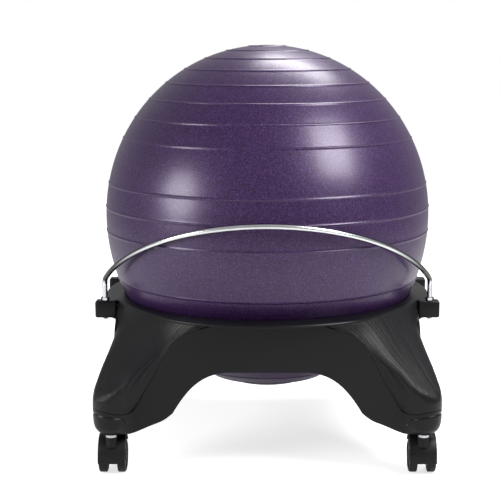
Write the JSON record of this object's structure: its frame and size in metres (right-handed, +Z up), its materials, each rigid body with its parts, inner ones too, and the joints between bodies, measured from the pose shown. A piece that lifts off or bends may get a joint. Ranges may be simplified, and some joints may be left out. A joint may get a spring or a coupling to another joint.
{
  "type": "balance ball chair",
  "caption": "Balance ball chair: a purple ridged ball seated in a black moulded base on small castors, with a bent bright bar in front.",
  "frame": {"origin": "on the floor under the middle of the object, which is also the ball's axis", "axes": "+Z up, -Y the front, where the bar is, +X the right side seen from the front"},
  "size_m": [0.5408, 0.55, 0.6325],
  "materials": {
    "ball_skin": "satin pearl PVC",
    "plug_plastic": "satin",
    "black_plastic": "moulded, satin",
    "castor_nylon": "moulded, satin",
    "chrome_plate": "polished",
    "zinc_steel": "zinc plated"
  },
  "bodies": {
    "base": {"seat_ring": "black_plastic", "support_bar": "chrome_plate", "bar_collar_left": "chrome_plate", "bar_nut_left": "zinc_steel", "bar_collar_right": "chrome_plate", "bar_nut_right": "zinc_steel", "apron_front": "black_plastic", "apron_rear": "black_plastic", "apron_left": "black_plastic", "apron_right": "black_plastic", "leg_cover_front_left": "black_plastic", "leg_core_front_left": "black_plastic", "ring_screw_front_left": "zinc_steel", "castor_socket_front_left": "zinc_steel", "leg_cover_front_right": "black_plastic", "leg_core_front_right": "black_plastic", "ring_screw_front_right": "zinc_steel", "castor_socket_front_right": "zinc_steel", "leg_cover_rear_left": "black_plastic", "leg_core_rear_left": "black_plastic", "ring_screw_rear_left": "zinc_steel", "castor_socket_rear_left": "zinc_steel", "leg_cover_rear_right": "black_plastic", "leg_core_rear_right": "black_plastic", "ring_screw_rear_right": "zinc_steel", "castor_socket_rear_right": "zinc_steel"},
    "ball": {"ball": "ball_skin"},
    "valve_plug": {"valve_plug": "plug_plastic"},
    "castor_front_left": {"castor_stem_front_left": "zinc_steel", "castor_hood_front_left": "castor_nylon", "castor_axle_front_left": "zinc_steel"},
    "wheel_front_left_left": {"wheel_front_left_left": "castor_nylon"},
    "wheel_front_left_right": {"wheel_front_left_right": "castor_nylon"},
    "castor_front_right": {"castor_stem_front_right": "zinc_steel", "castor_hood_front_right": "castor_nylon", "castor_axle_front_right": "zinc_steel"},
    "wheel_front_right_left": {"wheel_front_right_left": "castor_nylon"},
    "wheel_front_right_right": {"wheel_front_right_right": "castor_nylon"},
    "castor_rear_left": {"castor_stem_rear_left": "zinc_steel", "castor_hood_rear_left": "castor_nylon", "castor_axle_rear_left": "zinc_steel"},
    "wheel_rear_left_left": {"wheel_rear_left_left": "castor_nylon"},
    "wheel_rear_left_right": {"wheel_rear_left_right": "castor_nylon"},
    "castor_rear_right": {"castor_stem_rear_right": "zinc_steel", "castor_hood_rear_right": "castor_nylon", "castor_axle_rear_right": "zinc_steel"},
    "wheel_rear_right_left": {"wheel_rear_right_left": "castor_nylon"},
    "wheel_rear_right_right": {"wheel_rear_right_right": "castor_nylon"}
  },
  "joints": [
    {"name": "ball_lift", "type": "slide", "parent": "base", "child": "ball", "axis": [0, 0, 1], "range_m": [0, 0.35]},
    {"name": "valve_plug_pull", "type": "slide", "parent": "ball", "child": "valve_plug", "axis": [0, 0, -1], "range_m": [0, 0.02]},
    {"name": "castor_swivel_front_left", "type": "hinge", "parent": "base", "child": "castor_front_left", "pos_m": [-0.232, -0.232, 0.0625], "axis": [0, 0, 1], "continuous": true},
    {"name": "wheel_spin_front_left_left", "type": "hinge", "parent": "castor_front_left", "child": "wheel_front_left_left", "pos_m": [-0.232, -0.214, 0.025], "axis": [1, 0, 0], "continuous": true},
    {"name": "wheel_spin_front_left_right", "type": "hinge", "parent": "castor_front_left", "child": "wheel_front_left_right", "pos_m": [-0.232, -0.214, 0.025], "axis": [1, 0, 0], "continuous": true},
    {"name": "castor_swivel_front_right", "type": "hinge", "parent": "base", "child": "castor_front_right", "pos_m": [0.232, -0.232, 0.0625], "axis": [0, 0, 1], "continuous": true},
    {"name": "wheel_spin_front_right_left", "type": "hinge", "parent": "castor_front_right", "child": "wheel_front_right_left", "pos_m": [0.232, -0.214, 0.025], "axis": [1, 0, 0], "continuous": true},
    {"name": "wheel_spin_front_right_right", "type": "hinge", "parent": "castor_front_right", "child": "wheel_front_right_right", "pos_m": [0.232, -0.214, 0.025], "axis": [1, 0, 0], "continuous": true},
    {"name": "castor_swivel_rear_left", "type": "hinge", "parent": "base", "child": "castor_rear_left", "pos_m": [-0.232, 0.232, 0.0625], "axis": [0, 0, 1], "continuous": true},
    {"name": "wheel_spin_rear_left_left", "type": "hinge", "parent": "castor_rear_left", "child": "wheel_rear_left_left", "pos_m": [-0.232, 0.25, 0.025], "axis": [1, 0, 0], "continuous": true},
    {"name": "wheel_spin_rear_left_right", "type": "hinge", "parent": "castor_rear_left", "child": "wheel_rear_left_right", "pos_m": [-0.232, 0.25, 0.025], "axis": [1, 0, 0], "continuous": true},
    {"name": "castor_swivel_rear_right", "type": "hinge", "parent": "base", "child": "castor_rear_right", "pos_m": [0.232, 0.232, 0.0625], "axis": [0, 0, 1], "continuous": true},
    {"name": "wheel_spin_rear_right_left", "type": "hinge", "parent": "castor_rear_right", "child": "wheel_rear_right_left", "pos_m": [0.232, 0.25, 0.025], "axis": [1, 0, 0], "continuous": true},
    {"name": "wheel_spin_rear_right_right", "type": "hinge", "parent": "castor_rear_right", "child": "wheel_rear_right_right", "pos_m": [0.232, 0.25, 0.025], "axis": [1, 0, 0], "continuous": true}
  ]
}
